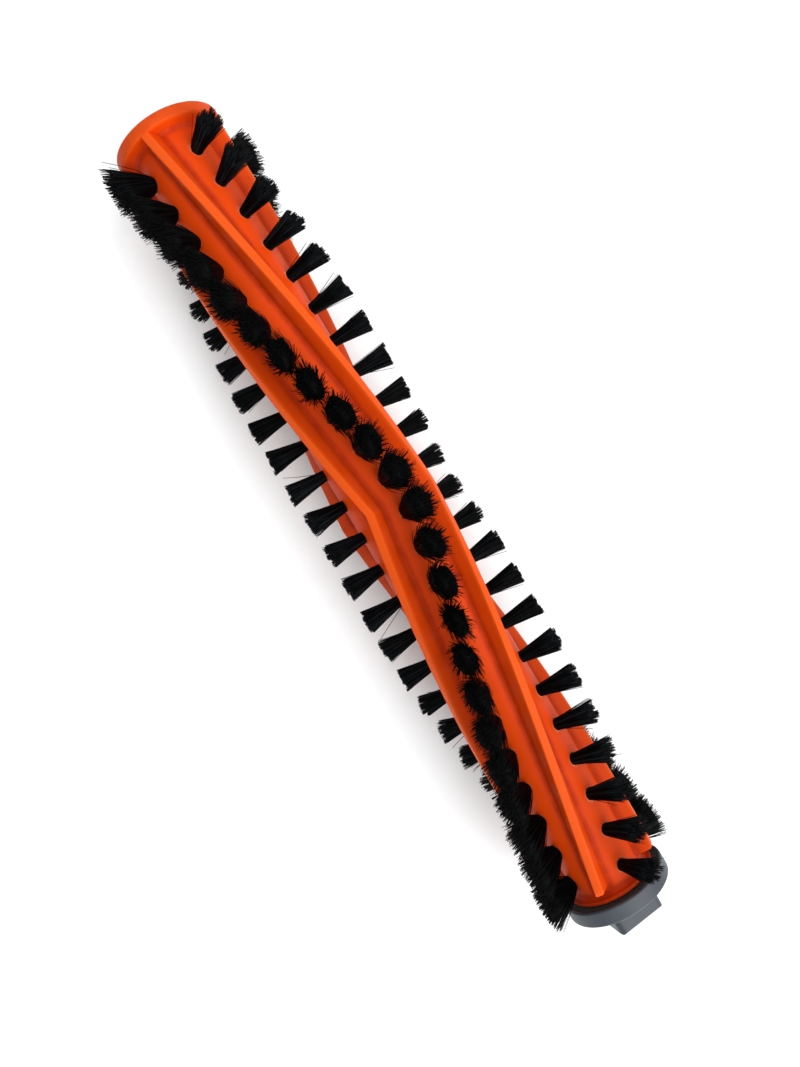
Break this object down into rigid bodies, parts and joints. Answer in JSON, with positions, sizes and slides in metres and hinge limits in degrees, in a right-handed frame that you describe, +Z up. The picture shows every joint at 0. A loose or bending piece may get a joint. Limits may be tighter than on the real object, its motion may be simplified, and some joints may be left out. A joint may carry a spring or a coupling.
{
  "type": "vacuum cleaner roller brush",
  "caption": "Vacuum roller brush with chevron ribs and chevron rows of bristle tufts, a drive socket in the flange end and a bearing cap with a square stub.",
  "frame": {"origin": "centre of the drive socket's mouth, in the flange's end face, on the roller's axis", "axes": "+X along the roller's axis from the drive end to the cap end, +Z up as the roller lies on its bristles"},
  "size_m": [0.2782, 0.0498, 0.0495],
  "materials": {
    "orange_plastic": "moulded, satin",
    "grey_plastic": "moulded, satin",
    "black_nylon": "moulded, matt",
    "bristle": "nylon filaments",
    "steel": "ground",
    "felt": "pressed felt"
  },
  "bodies": {
    "roller": {"core": "orange_plastic", "drive_insert": "black_nylon", "axle": "steel", "bristle_row_1": "bristle", "bristle_row_2": "bristle", "bristle_row_3": "bristle", "bristle_row_4": "bristle", "anchor_row_1": "steel", "anchor_row_2": "steel", "anchor_row_3": "steel", "anchor_row_4": "steel", "thrust_washer": "steel", "bearing_inner_race": "steel", "retaining_ring": "steel"},
    "cap": {"end_cap": "grey_plastic", "bearing_outer_race": "steel", "bearing_shield_inner": "steel", "bearing_shield_outer": "steel", "dust_seal": "felt"},
    "ball_set": {"bearing_balls": "steel", "bearing_cage": "black_nylon"}
  },
  "joints": [
    {"name": "cap_turn", "type": "hinge", "parent": "roller", "child": "cap", "pos_m": [0.2693, 0, 0], "axis": [1, 0, 0], "continuous": true},
    {"name": "ball_set_turn", "type": "hinge", "parent": "roller", "child": "ball_set", "pos_m": [0.2693, 0, 0], "axis": [1, 0, 0], "continuous": true}
  ],
  "couplings": [
    {"joint": "ball_set_turn", "follows": "cap_turn", "ratio": 0.6158}
  ]
}
